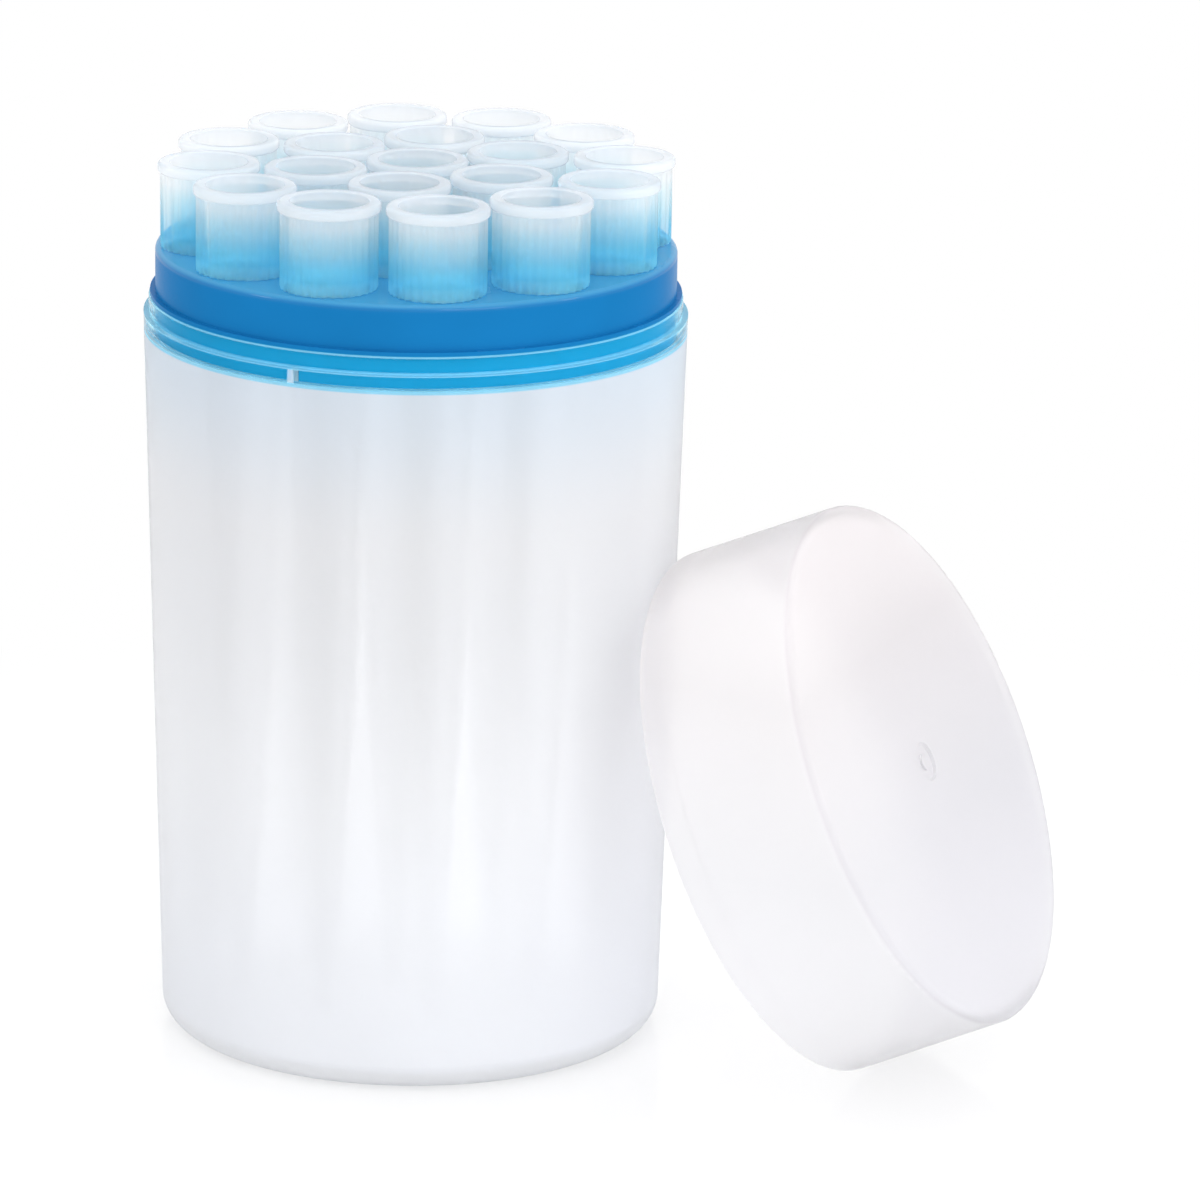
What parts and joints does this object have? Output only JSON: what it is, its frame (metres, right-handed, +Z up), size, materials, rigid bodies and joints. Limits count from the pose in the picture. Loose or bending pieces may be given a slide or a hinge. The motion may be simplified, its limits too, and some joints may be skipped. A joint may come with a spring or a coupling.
{
  "type": "round box of pipette tips",
  "caption": "Round translucent jar with a blue rack holding large ribbed pipette tips upright, and its push-on lid leaning on the jar's side.",
  "frame": {"origin": "middle of the jar's flat underside, on the surface that it stands on", "axes": "+Z up along the jar's axis, out of its mouth; +X towards the side where the lid leans; +Y away from the viewer"},
  "size_m": [0.1346, 0.0972, 0.1299],
  "materials": {
    "jar_plastic": "milky translucent polypropylene, satin",
    "lid_plastic": "milky translucent polypropylene, satin",
    "tip_plastic": "clear natural polypropylene, smooth",
    "rack_plastic": "blue polypropylene, semi-gloss"
  },
  "bodies": {
    "root": {"jar": "jar_plastic", "rack": "rack_plastic", "lid": "lid_plastic", "tip_01": "tip_plastic", "tip_02": "tip_plastic", "tip_03": "tip_plastic", "tip_04": "tip_plastic", "tip_05": "tip_plastic", "tip_06": "tip_plastic", "tip_07": "tip_plastic", "tip_08": "tip_plastic", "tip_09": "tip_plastic", "tip_10": "tip_plastic", "tip_11": "tip_plastic", "tip_12": "tip_plastic", "tip_13": "tip_plastic", "tip_14": "tip_plastic", "tip_15": "tip_plastic", "tip_16": "tip_plastic", "tip_17": "tip_plastic", "tip_18": "tip_plastic", "tip_19": "tip_plastic"}
  },
  "joints": []
}
